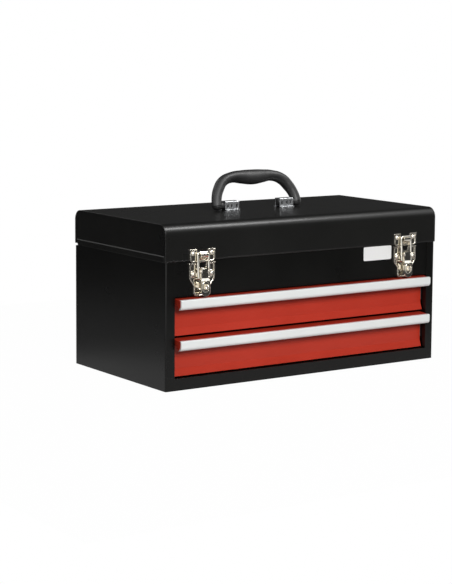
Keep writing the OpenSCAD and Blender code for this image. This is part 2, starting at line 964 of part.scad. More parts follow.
grip_path = concat(
    [for (i = [0 : grip_last - 1], s = [0 : grip_steps - 1]) blend(i, s / grip_steps)],
    [grip_stations[grip_last]]
);
grip_rings = len(grip_path);

function path_dir(i) =
    let (a = grip_path[max(0, i - 1)], b = grip_path[min(grip_rings - 1, i + 1)],
         v = [b[0] - a[0], b[1] - a[1]])
    v / norm(v);

// rounded section: cosine and sine pushed a little towards a square
function full(v) = sign(v) * pow(abs(v), 0.86);

function grip_ring(i) =
    let (p = grip_path[i], d = path_dir(i))
    [for (k = [0 : grip_sides - 1])
        let (c = full(cos(360 * k / grip_sides)), s = full(sin(360 * k / grip_sides)))
        [p[0] - d[1] * p[2] * c, p[3] * s, p[1] + d[0] * p[2] * c]];

module handle_grip() {
    m = grip_sides;
    points = [for (i = [0 : grip_rings - 1]) each grip_ring(i)];
    skin = [for (i = [0 : grip_rings - 2], k = [0 : m - 1])
        [i * m + k, i * m + (k + 1) % m, (i + 1) * m + (k + 1) % m, (i + 1) * m + k]];
    ends = [
        [for (k = [m - 1 : -1 : 0]) k],
        [for (k = [0 : m - 1]) (grip_rings - 1) * m + k]
    ];
    polyhedron(points = points, faces = concat(skin, ends), convexity = 6);
}

module handle() {
    pin_end = bracket_in - 0.4;
    color([0.13, 0.13, 0.13])
        translate([0, 0, pivot_up])
            rotate([-handle_lean, 0, 0]) {
                handle_grip();
                // moulded pins that run through the brackets
                for (side = [-1, 1])
                    on_side(side)
                        translate([pin_end, 0, 0])
                            rotate([0, 90, 0])
                                cylinder(r = handle_pin_r, h = leg_x - pin_end - 3);
            }
}

// ---- drawers ----

// points of the drawer front's bent sheet in Y and Z, its foot at z
function front_line(z) =
    let (y = front_y + front_in + sheet / 2, top = z + front_h - sheet / 2)
    [
        [y - flare_d, z + sheet / 2],
        [y, z + flare_h],
        [y, top],
        [y - lip_d, top - 2],
        [y - lip_d + 0.3, top - 0.72 * lip_h],
        [y - lip_d + 3.4, top - lip_h]
    ];

module drawer_front(z) {
    line = front_line(z);
    x = open_x - side_gap;
    color([0.72, 0.16, 0.12]) {
        along_x(-x, x)
            bent(line, sheet);
        // gussets that close the ends of the pull lip
        for (side = [-1, 1])
            on_side(side)
                along_x(x - sheet, x)
                    polygon([line[2], line[3], line[4], line[5]]);
    }
}

// trim strip over the pull lip, flat in front and curled under at its foot
module drawer_trim(z) {
    line = front_line(z);
    x = open_x - side_gap - trim_short;
    p = line[3];
    q = line[5];
    along = unit(q - line[4]);
    back = unit(line[2] - p);
    g = sheet / 2 + 0.05;
    color([0.86, 0.87, 0.88])
        along_x(-x, x)
            polygon([
                p + 1.4 * back + [0, 1.3], p + [-1.2, 1.25], p + [-2.0, 0.9], p + [-2.5, 0.2],
                p + [-2.6, -0.7], q + [-6.0, 4.0], q + [-5.7, 2.6], q + [-4.9, 1.2],
                q + [-3.7, 0.0], q + [-2.2, -0.8], q + [-0.5, -1.2], q + [0.5, -1.1],
                q + 0.06 * along - g * left_of(along), beside(line, 4, -g), beside(line, 3, -g),
                p + 1.4 * back + g * left_of(back)
            ]);
}

module drawer_tray(z) {
    y0 = tray_y;
    y1 = tray_y + tray_l;
    zf = z + tray_up;
    color([0.11, 0.11, 0.105]) {
        translate([0, 0, zf])
            difference() {
                linear_extrude(tray_h)
                    rounded(-tray_x, y0, tray_x, y1, corner_r);
                translate([0, 0, sheet])
                    linear_extrude(tray_h)
                        rounded(sheet - tray_x, y0 + sheet, tray_x - sheet, y1 - sheet,
                                corner_r - sheet);
                // the front is open behind its panel, between two weld flanges
                translate([-tray_x + tray_flange, y0 - 1, sheet])
                    cube([2 * (tray_x - tray_flange), corner_r + 1, tray_h]);
            }
        // safe hem turned inwards
        translate([0, 0, zf + tray_h - sheet])
            linear_extrude(sheet)
                difference() {
                    rounded(sheet - tray_x, y0 + sheet, tray_x - sheet, y1 - sheet,
                            corner_r - sheet);
                    translate([-tray_x + sheet + tray_hem, y0])
                        square([2 * (tray_x - sheet - tray_hem), tray_l - sheet - tray_hem]);
                }
    }
}

// hat-section runner on the side of a tray
module drawer_runner(side, z) {
    w = slide_w - slide_t - slide_gap - 0.4;
    color([0.62, 0.63, 0.64])
        on_side(side)
            translate([tray_x, chan_y, z + slide_up])
                rotate([-90, 0, 0])
                    linear_extrude(runner_l) {
                        translate([0, -slot_z])
                            square([slide_t, 2 * slot_z]);
                        for (k = [-1, 1]) {
                            translate([0, k * (slot_z - slide_t / 2) - slide_t / 2])
                                square([w, slide_t]);
                            translate([w - slide_t, k > 0 ? slot_z - slide_t : -runner_z])
                                square([slide_t, runner_z - slot_z + slide_t]);
                        }
                    }
}

body_wrap();
bottom_pan();
upper_front_panel();
compartment_floor();
rear_post(-1);  // rear_post_left
rear_post(1);  // rear_post_right
slide_channel(-1, low_z);  // slide_channel_lower_left
slide_channel(1, low_z);  // slide_channel_lower_right
slide_channel(-1, up_z);  // slide_channel_upper_left
slide_channel(1, up_z);  // slide_channel_upper_right
latch_base(-1);  // latch_base_left
latch_base(1);  // latch_base_right
latch_pin(-1);  // latch_pin_left
latch_pin(1);  // latch_pin_right
latch_base_rivets();
hinge_leaf_lower();
hinge_pin();
lid_wrap();
lid_end(-1);  // lid_end_left
lid_end(1);  // lid_end_right
hinge_leaf_upper();
keeper(-1);  // keeper_left
keeper(1);  // keeper_right
keeper_rivets();
handle_bracket(-1);  // handle_bracket_left
handle_bracket(1);  // handle_bracket_right
bracket_rivets();
handle();
drawer_front(low_z);  // drawer_front_lower
drawer_tray(low_z);  // drawer_tray_lower
drawer_trim(low_z);  // drawer_trim_lower
drawer_runner(-1, low_z);  // drawer_runner_lower_left
drawer_runner(1, low_z);  // drawer_runner_lower_right
drawer_front(up_z);  // drawer_front_upper
drawer_tray(up_z);  // drawer_tray_upper
drawer_trim(up_z);  // drawer_trim_upper
drawer_runner(-1, up_z);  // drawer_runner_upper_left
drawer_runner(1, up_z);  // drawer_runner_upper_right
latch_lever(-1);  // latch_lever_left
latch_lever(1);  // latch_lever_right
latch_loop(-1);  // latch_loop_left
latch_loop(1);  // latch_loop_right
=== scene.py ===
import math

import bpy
from mathutils import Matrix, Vector


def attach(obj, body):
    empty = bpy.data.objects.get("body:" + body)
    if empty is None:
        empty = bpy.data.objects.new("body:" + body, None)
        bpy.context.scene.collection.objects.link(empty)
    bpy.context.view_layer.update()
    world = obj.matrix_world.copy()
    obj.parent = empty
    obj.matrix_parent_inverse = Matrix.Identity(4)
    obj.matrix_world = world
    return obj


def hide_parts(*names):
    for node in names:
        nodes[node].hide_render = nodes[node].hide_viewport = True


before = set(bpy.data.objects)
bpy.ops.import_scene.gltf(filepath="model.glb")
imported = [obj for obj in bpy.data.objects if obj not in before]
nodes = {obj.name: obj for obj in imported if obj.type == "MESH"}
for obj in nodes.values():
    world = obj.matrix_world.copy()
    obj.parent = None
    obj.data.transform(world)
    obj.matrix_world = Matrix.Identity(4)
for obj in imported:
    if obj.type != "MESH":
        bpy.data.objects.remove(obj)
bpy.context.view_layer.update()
bpy.ops.object.select_all(action="DESELECT")

# ---------------------------------------------------------------------------
# Cabinet: side and back wrap, bottom pan with its front rail, and the upper
# front panel. Thin folded steel sheet, spot-welded and powder-coated in a
# satin black that shows a fine ripple.
# ---------------------------------------------------------------------------

cloud_scale = 14.0  # patches of tone and gloss to the metre
cloud_ends = (0.3, 0.7)  # levels of the clouds at which a finish is darkest and lightest
ripple_height = 0.0004
bevel_samples = 6


def sockets(group, way, kind, *names):
    """Gives a node group its named inputs or outputs."""
    for name in names:
        group.interface.new_socket(name, in_out=way, socket_type=f"NodeSocket{kind}")


def paint_grain_group():
    """Fine ripple and clouds of a sprayed finish: a tone mask, a roughness and a normal."""
    group = bpy.data.node_groups.new("paint_grain", "ShaderNodeTree")
    sockets(group, "INPUT", "Float", "Ripple Size", "Ripple Depth", "Rough Low", "Rough High")
    sockets(group, "INPUT", "Float", "Edge")
    sockets(group, "OUTPUT", "Float", "Tone", "Roughness")
    sockets(group, "OUTPUT", "Vector", "Normal")
    new = group.nodes.new
    link = group.links.new
    given = new("NodeGroupInput")
    result = new("NodeGroupOutput")
    coord = new("ShaderNodeTexCoord")
    ripple = new("ShaderNodeTexNoise")
    ripple.inputs["Detail"].default_value = 3.0
    cloud = new("ShaderNodeTexNoise")
    cloud.inputs["Scale"].default_value = cloud_scale
    cloud.inputs["Detail"].default_value = 4.0
    spread = new("ShaderNodeMapRange")
    spread.inputs["From Min"].default_value = cloud_ends[0]
    spread.inputs["From Max"].default_value = cloud_ends[1]
    edge = new("ShaderNodeBevel")
    edge.samples = bevel_samples
    bump = new("ShaderNodeBump")
    bump.inputs["Distance"].default_value = ripple_height
    link(coord.outputs["Object"], ripple.inputs["Vector"])
    link(coord.outputs["Object"], cloud.inputs["Vector"])
    link(given.outputs["Ripple Size"], ripple.inputs["Scale"])
    link(given.outputs["Ripple Depth"], bump.inputs["Strength"])
    link(given.outputs["Rough Low"], spread.inputs["To Min"])
    link(given.outputs["Rough High"], spread.inputs["To Max"])
    link(given.outputs["Edge"], edge.inputs["Radius"])
    link(edge.outputs["Normal"], bump.inputs["Normal"])
    link(ripple.outputs["Fac"], bump.inputs["Height"])
    link(cloud.outputs["Fac"], spread.inputs["Value"])
    link(cloud.outputs["Fac"], result.inputs["Tone"])
    link(spread.outputs["Result"], result.inputs["Roughness"])
    link(bump.outputs["Normal"], result.inputs["Normal"])
    return group


def effect(tree, group, values):
    """Places a shared effect in a material or world, with its own values."""
    node = tree.nodes.new("ShaderNodeGroup")
    node.node_tree = group
    for name, value in values.items():
        node.inputs[name].default_value = value
    return node


def coat(name, dark, light, ends, group, values):
    """A finish between two colours, whose tone, gloss and relief come from a shared effect."""
    mat = bpy.data.materials.new(name)
    mat.use_nodes = True
    tree = mat.node_tree
    link = tree.links.new
    shader = tree.nodes["Principled BSDF"]
    grain = effect(tree, group, values)
    tone = tree.nodes.new("ShaderNodeValToRGB")
    for stop, level, colour in zip(tone.color_ramp.elements, ends, (dark, light)):
        stop.position = level
        stop.color = (*colour, 1)
    link(grain.outputs["Tone"], tone.inputs["Fac"])
    link(tone.outputs["Color"], shader.inputs["Base Color"])
    link(grain.outputs["Roughness"], shader.inputs["Roughness"])
    link(grain.outputs["Normal"], shader.inputs["Normal"])
    return mat, shader


paint_grain = paint_grain_group()


def sprayed(name, dark, light, rough, ripple, specular, edge=0.0005):
    """A sprayed or moulded finish. The ripple is its count to the metre and its depth."""
    values = {
        "Ripple Size": ripple[0], "Ripple Depth": ripple[1],
        "Rough Low": rough[0], "Rough High": rough[1], "Edge": edge,
    }
    mat, shader = coat(name, dark, light, cloud_ends, paint_grain, values)
    shader.inputs["Specular IOR Level"].default_value = specular
    return mat


def outer_black(name, dark, light, edge):
    """The satin black of the outer sheets, with folds as round as the edge says."""
    return sprayed(
        name, dark, light,
        rough=(0.27, 0.31), ripple=(1400.0, 0.06), specular=0.26, edge=edge,
    )


def dress(names, mat):
    """Gives CAD pieces their finish."""
    for name in names:
        piece = nodes[name]
        if not piece.material_slots:
            piece.data.materials.append(mat)
        for slot in piece.material_slots:
            slot.material = mat


cabinet_black = ((0.0026, 0.0026, 0.0023), (0.0038, 0.0038, 0.0034))

# the folds of the front panel are rounder than the cut edges of the wrap
dress(["body_wrap", "bottom_pan"], outer_black("black_powder_coat", *cabinet_black, edge=0.0002))
dress(["upper_front_panel"], outer_black("panel_powder_coat", *cabinet_black, edge=0.0009))

# ---------------------------------------------------------------------------
# Inside of the cabinet: compartment floor and the two rear posts, in the same
# sheet with a thinner, duller coat.
# ---------------------------------------------------------------------------

inner_coat = sprayed(
    "inner_black_coat", (0.012, 0.012, 0.0115), (0.018, 0.018, 0.017),
    rough=(0.5, 0.62), ripple=(1100.0, 0.2), specular=0.4,
)
dress(["compartment_floor", "rear_post_left", "rear_post_right"], inner_coat)

# ---------------------------------------------------------------------------
# Drawer slides: zinc-plated C channels on the cabinet and hat-section runners
# on the trays, with the drawn grain of rolled strip.
# ---------------------------------------------------------------------------

streak_ends = (0.32, 0.68)  # levels of the grain at which the metal is darkest and lightest
streak_height = 0.0003


def plated_grain_group():
    """Fine grain of plated metal that can run one way: a tone mask, a roughness and a normal."""
    group = bpy.data.node_groups.new("plated_grain", "ShaderNodeTree")
    sockets(group, "INPUT", "Vector", "Stretch")
    sockets(group, "INPUT", "Float", "Depth", "Rough Low", "Rough High", "Edge")
    sockets(group, "OUTPUT", "Float", "Tone", "Roughness")
    sockets(group, "OUTPUT", "Vector", "Normal")
    new = group.nodes.new
    link = group.links.new
    given = new("NodeGroupInput")
    result = new("NodeGroupOutput")
    coord = new("ShaderNodeTexCoord")
    mapping = new("ShaderNodeMapping")
    streak = new("ShaderNodeTexNoise")
    streak.inputs["Scale"].default_value = 1.0
    streak.inputs["Detail"].default_value = 5.0
    spread = new("ShaderNodeMapRange")
    edge = new("ShaderNodeBevel")
    edge.samples = bevel_samples
    bump = new("ShaderNodeBump")
    bump.inputs["Distance"].default_value = streak_height
    link(coord.outputs["Object"], mapping.inputs["Vector"])
    link(given.outputs["Stretch"], mapping.inputs["Scale"])
    link(given.outputs["Depth"], bump.inputs["Strength"])
    link(given.outputs["Rough Low"], spread.inputs["To Min"])
    link(given.outputs["Rough High"], spread.inputs["To Max"])
    link(given.outputs["Edge"], edge.inputs["Radius"])
    link(edge.outputs["Normal"], bump.inputs["Normal"])
    link(mapping.outputs["Vector"], streak.inputs["Vector"])
    link(streak.outputs["Fac"], bump.inputs["Height"])
    link(streak.outputs["Fac"], spread.inputs["Value"])
    link(streak.outputs["Fac"], result.inputs["Tone"])
    link(spread.outputs["Result"], result.inputs["Roughness"])
    link(bump.outputs["Normal"], result.inputs["Normal"])
    return group


plated_grain = plated_grain_group()


def plated(name, dark, light, rough, stretch, depth=0.08, edge=0.0004):
    """Plated or polished metal. The stretch is the grain's count to the metre, each way."""
    values = {
        "Stretch": stretch, "Depth": depth,
        "Rough Low": rough[0], "Rough High": rough[1], "Edge": edge,
    }
    mat, shader = coat(name, dark, light, streak_ends, plated_grain, values)
    shader.inputs["Metallic"].default_value = 1.0
    return mat


slide_zinc = plated(
    "slide_zinc", (0.34, 0.35, 0.36), (0.48, 0.49, 0.50),
    rough=(0.3, 0.45), stretch=(900.0, 40.0, 900.0),
)
levels = ("lower", "upper")
sides = {"left": -1, "right": 1}
for part in ("slide_channel", "drawer_runner"):
    dress([f"{part}_{level}_{side}" for level in levels for side in sides], slide_zinc)

# ---------------------------------------------------------------------------
# Lid: one wrap over the front, top and back, with two welded ends that carry a
# pressed band. The same black coat as the cabinet; its lighter tone is painted
# light, standing for the light that falls on the lid's top.
# ---------------------------------------------------------------------------

# painted light: this black is lighter than the cabinet's to stand for the light on the lid's top
lid_black_painted_light = ((0.0092, 0.0092, 0.0087), (0.0112, 0.0112, 0.0105))
dress(["lid_end_left", "lid_end_right"], outer_black("lid_coat_painted_light", *lid_black_painted_light, edge=0.0010))
dress(["lid_wrap"], outer_black("wrap_coat_painted_light", *lid_black_painted_light, edge=0.0026))

# ---------------------------------------------------------------------------
# Piano hinge along the back: two plated steel leaves rolled round one long pin,
# the lower one fixed to the cabinet and the upper one to the lid.
# ---------------------------------------------------------------------------

hinge_steel = plated(
    "hinge_steel", (0.20, 0.20, 0.20), (0.32, 0.32, 0.32),
    rough=(0.35, 0.5), stretch=(40.0, 900.0, 900.0),
)
dress(["hinge_leaf_lower", "hinge_leaf_upper", "hinge_pin"], hinge_steel)

# ---------------------------------------------------------------------------
# Carrying handle: one black plastic moulding, thick in the middle of the grip,
# with a round pin on the inside of each leg that turns in a bracket.
# ---------------------------------------------------------------------------

handle_black = sprayed(
    "handle_plastic", (0.013, 0.013, 0.013), (0.019, 0.019, 0.019),
    rough=(0.44, 0.52), ripple=(1500.0, 0.15), specular=0.5,
)

pivot_height = 0.227
handle_lean = math.radians(22)
# x, height over the pivot, half thickness and half depth, from a foot to the
# middle; the depth leaves the lid clear when the handle lies down
grip_line = [
    (0.0688, -0.0061, 0.0025, 0.0023), (0.0688, -0.0054, 0.0045, 0.0041),
    (0.0688, -0.0036, 0.0063, 0.0056), (0.0688, 0.0000, 0.0074, 0.0066),
    (0.0684, 0.0051, 0.0073, 0.0070), (0.0662, 0.0133, 0.0073, 0.0078),
    (0.0612, 0.0231, 0.0075, 0.0087), (0.0510, 0.0348, 0.0075, 0.0097),
    (0.0339, 0.0406, 0.0077, 0.0098), (0.0172, 0.0404, 0.0096, 0.0095),
    (0.0000, 0.0396, 0.0108, 0.0100),
]
whole_line = grip_line + [(-x, *rest) for x, *rest in reversed(grip_line[:-1])]
ring_steps = 6  # rings from one point of the line to the next
ring_points = 32
grip_weld = 0.00002
pin_radius, pin_length, pin_middle = 0.0046, 0.0310, 0.0506
pin_chamfer = 0.0024
lying = (0, math.pi / 2, 0)  # turns a cylinder to lie across the box


def pick(piece):
    """Makes a piece the active one and the only one selected."""
    bpy.ops.object.select_all(action="DESELECT")
    bpy.context.view_layer.objects.active = piece
    piece.select_set(True)


bpy.ops.curve.primitive_bezier_circle_add(radius=1.0)
section = bpy.context.object
section.data.resolution_u = ring_points // 4
bpy.ops.curve.primitive_bezier_curve_add()
path = bpy.context.object
spline = path.data.splines[0]
spline.bezier_points.add(len(whole_line) - len(spline.bezier_points))
for point, (x, height, thick, _) in zip(spline.bezier_points, whole_line):
    point.co = (x, 0.0, height)
    point.handle_left_type = point.handle_right_type = "AUTO"
    point.radius = thick
spline.radius_interpolation = "CARDINAL"
spline.resolution_u = ring_steps
path.data.dimensions = "3D"
path.data.twist_mode = "Z_UP"
path.data.bevel_mode = "OBJECT"
path.data.bevel_object = section
path.data.use_fill_caps = True
bpy.ops.object.convert(target="MESH")
handle = bpy.context.object
handle.name = "handle_grip"
bpy.data.objects.remove(section)

# the sweep is round; each ring is made as deep as the line says
flat = [deep / thick for _, _, thick, deep in whole_line]
for vertex in handle.data.vertices:
    ring = min(vertex.index // ring_points, ring_steps * (len(flat) - 1) - 1)
    step, part = divmod(ring, ring_steps)
    vertex.co.y *= flat[step] + (flat[step + 1] - flat[step]) * part / ring_steps
bpy.ops.object.mode_set(mode="EDIT")
bpy.ops.mesh.select_all(action="SELECT")
bpy.ops.mesh.remove_doubles(threshold=grip_weld)
bpy.ops.mesh.normals_make_consistent(inside=False)
bpy.ops.object.mode_set(mode="OBJECT")
bpy.ops.object.shade_smooth_by_angle(angle=math.radians(50))
handle.data.materials.clear()
handle.data.materials.append(handle_black)

pins = []
for sign in sides.values():
    bpy.ops.mesh.primitive_cylinder_add(
        vertices=48, radius=pin_radius, depth=pin_length,
        location=(sign * pin_middle, 0, 0), rotation=lying,
    )
    pin = bpy.context.object
    bevel = pin.modifiers.new("edge", "BEVEL")
    bevel.width = pin_chamfer
    bevel.segments = 6
    bpy.ops.object.modifier_apply(modifier="edge")
    bpy.ops.object.shade_smooth_by_angle(angle=math.radians(50))
    pin.data.materials.append(handle_black)
    pins.append(pin)
pick(handle)
for pin in pins:
    pin.select_set(True)
bpy.ops.object.join()
handle.rotation_euler = (-handle_lean, 0, 0)
handle.location = (0, 0, pivot_height)
bpy.ops.object.transform_apply(location=True, rotation=True, scale=True)
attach(handle, "handle_body")
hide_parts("handle")

# ---------------------------------------------------------------------------
# Handle brackets: bright-plated saddles over the handle's pins, riveted to the
# lid through two feet each.
# ---------------------------------------------------------------------------

bracket_plate = plated(
    "bracket_plate", (0.40, 0.41, 0.42), (0.58, 0.59, 0.60),
    rough=(0.34, 0.46), stretch=(300.0, 300.0, 300.0), depth=0.06,
)
dress(["bracket_rivets"], bracket_plate)

lid_top = 0.220
bracket_middle = 0.04715
bracket_width, saddle_depth, saddle_height, saddle_fold = 0.0233, 0.0124, 0.0132, 0.0015
foot_depth, foot_height, foot_corner = 0.0210, 0.0015, 0.0030
scallop_radius, scallop_depth, scallop_y = 0.0022, 0.006, 0.0113
bore_radius = 0.0047
channel_middle, channel_height = 0.0030, 0.0080  # the middle is over the lid's top
through = 0.03  # length of a cutter that passes right through a bracket
wall_y = 0.0060
slot_middle, slot_depth, slot_rise = 0.2264, 0.0030, 0.0028  # height, half depth, half height
# each slot's place towards the bracket's outer end, and its half width
slots = ((0.00715, 0.0014), (0.00095, 0.0015), (-0.00785, 0.0015))
cut_weld = 0.000005
upright, across, fore_and_aft = 2, 0, 1  # the axes along which an edge can run


def block(place, size):
    """A plain block, the start of a plate or a cutter."""
    bpy.ops.object.select_all(action="DESELECT")
    bpy.ops.mesh.primitive_cube_add(size=1, location=place)
    bpy.context.object.scale = size
    bpy.ops.object.transform_apply(location=True, rotation=False, scale=True)
    return bpy.context.object


def round_edges(piece, axis, width, segments, over=-1.0, under=1.0):
    """Rounds the edges of a block that run along one axis and lie between two heights."""
    bpy.ops.object.mode_set(mode="EDIT")
    bpy.ops.mesh.select_mode(type="EDGE")
    bpy.ops.mesh.select_all(action="DESELECT")
    bpy.ops.object.mode_set(mode="OBJECT")
    for edge in piece.data.edges:
        a, b = (piece.data.vertices[i].co for i in edge.vertices)
        along = abs(b[axis] - a[axis]) > 0.99 * (b - a).length
        edge.select = along and min(a.z, b.z) > over and max(a.z, b.z) < under
    bpy.ops.object.mode_set(mode="EDIT")
    bpy.ops.mesh.bevel(offset=width, segments=segments)
    bpy.ops.object.mode_set(mode="OBJECT")


def fuse(piece, other, operation):
    """Joins another form to the piece or cuts it out, and drops that form."""
    change = piece.modifiers.new("change", "BOOLEAN")
    change.operation = operation
    change.solver = "EXACT"
    change.object = other
    pick(piece)
    bpy.ops.object.modifier_apply(modifier="change")
    bpy.data.objects.remove(other)


for side, sign in sides.items():
    middle = sign * bracket_middle
    saddle = block(
        (middle, 0, lid_top + saddle_height / 2), (bracket_width, saddle_depth, saddle_height)
    )
    round_edges(saddle, across, saddle_fold, 5, over=lid_top + saddle_height / 2)
    saddle.name = f"bracket_saddle_{side}"
    foot = block((middle, 0, lid_top + foot_height / 2), (bracket_width, foot_depth, foot_height))
    round_edges(foot, upright, foot_corner, 6)
    fuse(saddle, foot, "UNION")
    # scallops that leave a round lobe about each rivet
    for y in (-scallop_y, scallop_y):
        bpy.ops.mesh.primitive_cylinder_add(
            vertices=32, radius=scallop_radius, depth=scallop_depth, location=(middle, y, lid_top)
        )
        fuse(saddle, bpy.context.object, "DIFFERENCE")
    # room for the pin: a channel from below and a round bore at its top
    channel = block(
        (middle, 0, lid_top + channel_middle), (through, 2 * bore_radius, channel_height)
    )
    fuse(saddle, channel, "DIFFERENCE")
    bpy.ops.mesh.primitive_cylinder_add(
        vertices=64, radius=bore_radius, depth=through,
        location=(middle, 0, pivot_height), rotation=lying,
    )
    fuse(saddle, bpy.context.object, "DIFFERENCE")
    # three stamped slots in each wall
    for y in (-wall_y, wall_y):
        for place, half in slots:
            bpy.ops.mesh.primitive_uv_sphere_add(
                segments=24, ring_count=16, radius=1,
                location=(middle + sign * place, y, slot_middle),
            )
            bpy.context.object.scale = (half, slot_depth, slot_rise)
            bpy.ops.object.transform_apply(location=True, rotation=False, scale=True)
            fuse(saddle, bpy.context.object, "DIFFERENCE")
    bpy.ops.object.mode_set(mode="EDIT")
    bpy.ops.mesh.select_all(action="SELECT")
    bpy.ops.mesh.remove_doubles(threshold=cut_weld)
    bpy.ops.mesh.dissolve_degenerate(threshold=cut_weld)
    bpy.ops.object.mode_set(mode="OBJECT")
    bpy.ops.object.shade_smooth_by_angle(angle=math.radians(40))
    saddle.data.materials.clear()
    saddle.data.materials.append(bracket_plate)
    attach(saddle, "lid")
    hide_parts(f"handle_bracket_{side}")

# ---------------------------------------------------------------------------
# Toggle latches: nickel-plated base plate, lever, wire loop and keeper, each
# pair of plates held by domed rivets. Both plates have a round-cornered notch
# stamped out of the middle of the top edge.
# ---------------------------------------------------------------------------

# the pressed plates have rounder edges than the lever and the wire
latch_nickel = plated(
    "latch_nickel", (0.62, 0.58, 0.50), (0.78, 0.74, 0.66),
    rough=(0.07, 0.14), stretch=(160.0, 160.0, 160.0), depth=0.03, edge=0.0009,
)
lever_nickel = plated(
    "lever_nickel", (0.60, 0.57, 0.50), (0.76, 0.73, 0.66),
    rough=(0.06, 0.12), stretch=(160.0, 160.0, 160.0), depth=0.03, edge=0.00035,
)
for part in ("latch_base", "latch_pin", "keeper"):
    dress([f"{part}_{side}" for side in sides], latch_nickel)
dress(["latch_base_rivets", "keeper_rivets"], latch_nickel)
for part in ("latch_lever", "latch_loop"):
    dress([f"{part}_{side}" for side in sides], lever_nickel)

latch_x = 0.173
cutter_y, cutter_depth = -0.1205, 0.006
# body, plate, height of its top edge, half width of the notch, its depth and
# the radius of its corners
latch_notches = [
    ("lid", "keeper", 0.1857, 0.0088, 0.0044, 0.0020),
    ("cabinet", "latch_base", 0.1674, 0.0064, 0.0068, 0.0015),
]
for body, part, plate_top, half, deep, corner in latch_notches:
    for side, sign in sides.items():
        cutter = block((sign * latch_x, cutter_y, plate_top), (2 * half, cutter_depth, 2 * deep))
        round_edges(cutter, fore_and_aft, corner, 6, under=plate_top)
        plate = bpy.data.objects.new(
            f"{part}_notched_{side}", nodes[f"{part}_{side}"].data.copy()
        )
        bpy.context.scene.collection.objects.link(plate)
        pick(plate)
        bpy.ops.object.mode_set(mode="EDIT")
        bpy.ops.mesh.select_all(action="SELECT")
        bpy.ops.mesh.remove_doubles(threshold=cut_weld)
        bpy.ops.object.mode_set(mode="OBJECT")
        fuse(plate, cutter, "DIFFERENCE")
        bpy.ops.object.shade_flat()
        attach(plate, body)
        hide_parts(f"{part}_{side}")

# ---------------------------------------------------------------------------
# Drawers: fronts folded from sheet steel with a flared foot and a forward pull
# lip, powder-coated red, on trays with the black coat of the inside.
# ---------------------------------------------------------------------------

red_coat = sprayed(
    "red_powder_coat", (0.455, 0.032, 0.0145), (0.495, 0.037, 0.0185),
    rough=(0.30, 0.36), ripple=(1400.0, 0.08), specular=0.28,
)
dress([f"drawer_front_{level}" for level in levels], red_coat)
dress([f"drawer_tray_{level}" for level in levels], inner_coat)

# ---------------------------------------------------------------------------
# Pull trims: bright extruded strips, J-shaped in section, clipped over the edge
# of each pull lip.
# ---------------------------------------------------------------------------

trim_bright = sprayed(
    "trim_bright", (0.83, 0.85, 0.84), (0.87, 0.89, 0.88),
    rough=(0.30, 0.36), ripple=(1200.0, 0.05), specular=0.5,
)
dress([f"drawer_trim_{level}" for level in levels], trim_bright)

# ---------------------------------------------------------------------------
# Plain label plate: a thin white plate with rounded corners on the upper front
# panel, left bare.
# ---------------------------------------------------------------------------

label_white = sprayed(
    "label_white", (0.86, 0.86, 0.85), (0.92, 0.92, 0.91),
    rough=(0.35, 0.45), ripple=(500.0, 0.05), specular=0.5,
)
label_place = (0.1244, -0.11935, 0.1602)
label_size = (0.0500, 0.0003, 0.0196)
label_corner = 0.0022
label = block(label_place, label_size)
label.name = "label_plate"
round_edges(label, fore_and_aft, label_corner, 6)
bpy.ops.object.shade_smooth_by_angle(angle=math.radians(40))
label.data.materials.append(label_white)
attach(label, "cabinet")

# ---------------------------------------------------------------------------
# Studio: a white surround that lights the box dimly from all round and has
# pale cards that only gloss mirrors, a pale floor, a small lamp that only
# gives glints, a large low fill in front, and the camera.
# ---------------------------------------------------------------------------


def seen_white_group():
    """How much of a white surface a ray meets: all of it from the camera and through glass,
    and a share of it in a reflection."""
    group = bpy.data.node_groups.new("seen_white", "ShaderNodeTree")
    sockets(group, "INPUT", "Float", "Camera", "Glossy", "Transmission", "Reflected")
    sockets(group, "OUTPUT", "Float", "Mask")
    new = group.nodes.new
    link = group.links.new
    given = new("NodeGroupInput")
    result = new("NodeGroupOutput")
    mirrored = new("ShaderNodeMath")
    mirrored.operation = "MULTIPLY"
    with_camera = new("ShaderNodeMath")
    with_glass = new("ShaderNodeMath")
    with_glass.use_clamp = True
    link(given.outputs["Glossy"], mirrored.inputs[0])
    link(given.outputs["Reflected"], mirrored.inputs[1])
    link(given.outputs["Camera"], with_camera.inputs[0])
    link(mirrored.outputs["Value"], with_camera.inputs[1])
    link(with_camera.outputs["Value"], with_glass.inputs[0])
    link(given.outputs["Transmission"], with_glass.inputs[1])
    link(with_glass.outputs["Value"], result.inputs["Mask"])
    return group


seen_white = seen_white_group()


def white_mask(tree, reflected):
    """The white that each kind of ray sees, where reflected is gloss's share of it."""
    ray = tree.nodes.new("ShaderNodeLightPath")
    mask = effect(tree, seen_white, {})
    tree.links.new(reflected, mask.inputs["Reflected"])
    for kind in ("Camera", "Glossy", "Transmission"):
        tree.links.new(ray.outputs[f"Is {kind} Ray"], mask.inputs[kind])
    return mask.outputs["Mask"]


# the cards that gloss mirrors; each is bounded by axes of the direction, with
# where it fades in and where it is full
studio_cards = (
    (("Z", 0.35, 0.60), ("Y", 0.25, -0.05)),  # high in front
    (("X", -0.30, -0.55), ("Y", 0.30, 0.10)),  # on the left
    (("X", 0.80, 0.95),),  # on the right
    (("X", 0.10, -0.15), ("Y", 0.50, 0.70), ("Z", 0.25, 0.40)),  # high at the left rear
)


